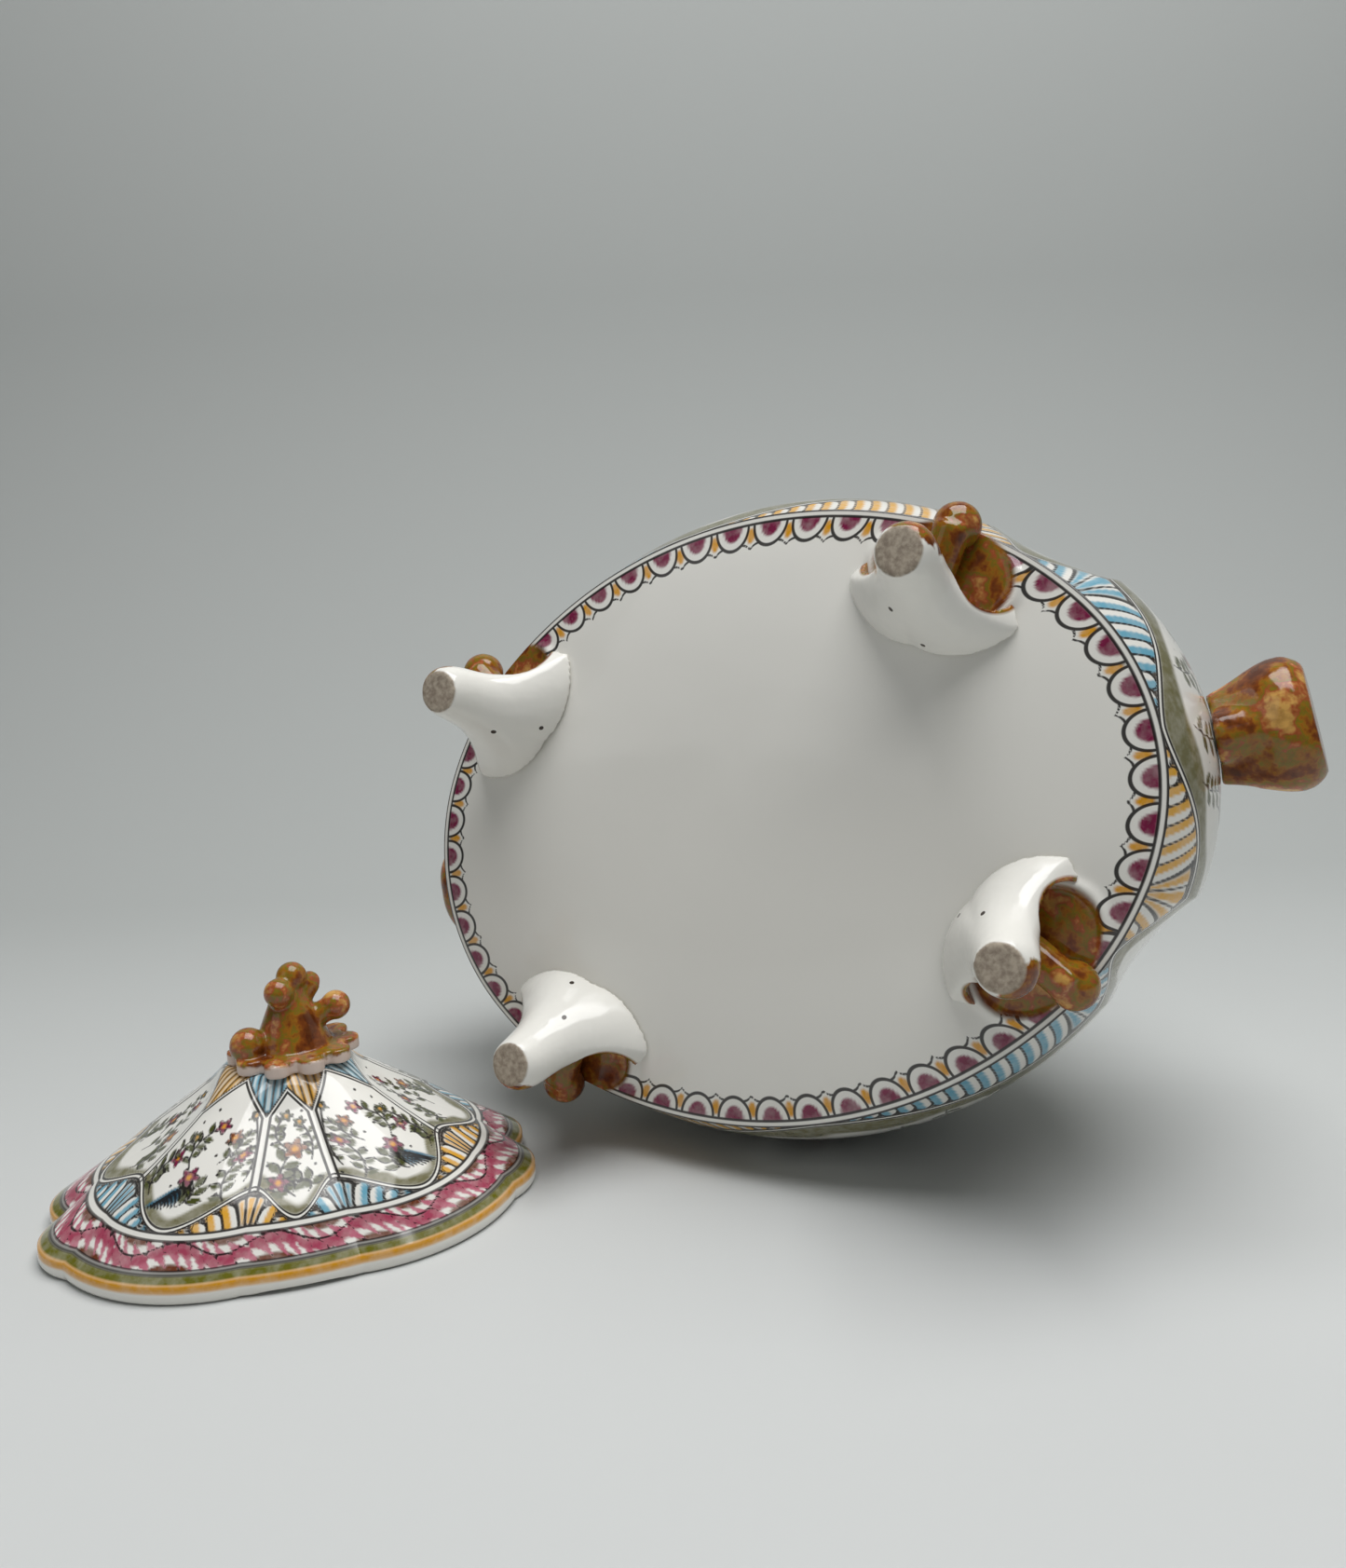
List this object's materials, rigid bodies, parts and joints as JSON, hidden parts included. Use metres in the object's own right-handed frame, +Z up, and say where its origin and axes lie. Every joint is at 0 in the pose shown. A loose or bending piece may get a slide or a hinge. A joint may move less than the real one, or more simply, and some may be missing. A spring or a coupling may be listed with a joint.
{
  "type": "covered tureen",
  "caption": "Lobed oval glazed earthenware tureen lying on its side, its scroll feet and lug handles showing, with its domed lid and branch finial standing beside it.",
  "frame": {"origin": "centre of the bottom of the bounding box of the whole lay-out, on the table", "axes": "+Z up from the table, +X to the right along the lay-out towards the visible handle, +Y away from the viewer into the picture"},
  "size_m": [0.4396, 0.2678, 0.2382],
  "materials": {
    "painted_glaze": "gloss white tin glaze with painted borders",
    "sponged_glaze": "gloss glaze sponged brown, ochre, olive and pink"
  },
  "bodies": {
    "bowl_body": {"bowl": "painted_glaze", "foot_front_right": "sponged_glaze", "foot_back_right": "sponged_glaze", "foot_back_left": "sponged_glaze", "foot_front_left": "sponged_glaze", "handle_right": "sponged_glaze", "handle_left": "sponged_glaze"},
    "lid_body": {"lid": "painted_glaze", "finial": "sponged_glaze"}
  },
  "joints": [
    {"name": "lid_lift", "type": "slide", "parent": "bowl_body", "child": "lid_body", "axis": [-0.5, 0, 0.866], "range_m": [0, 0.16]}
  ]
}
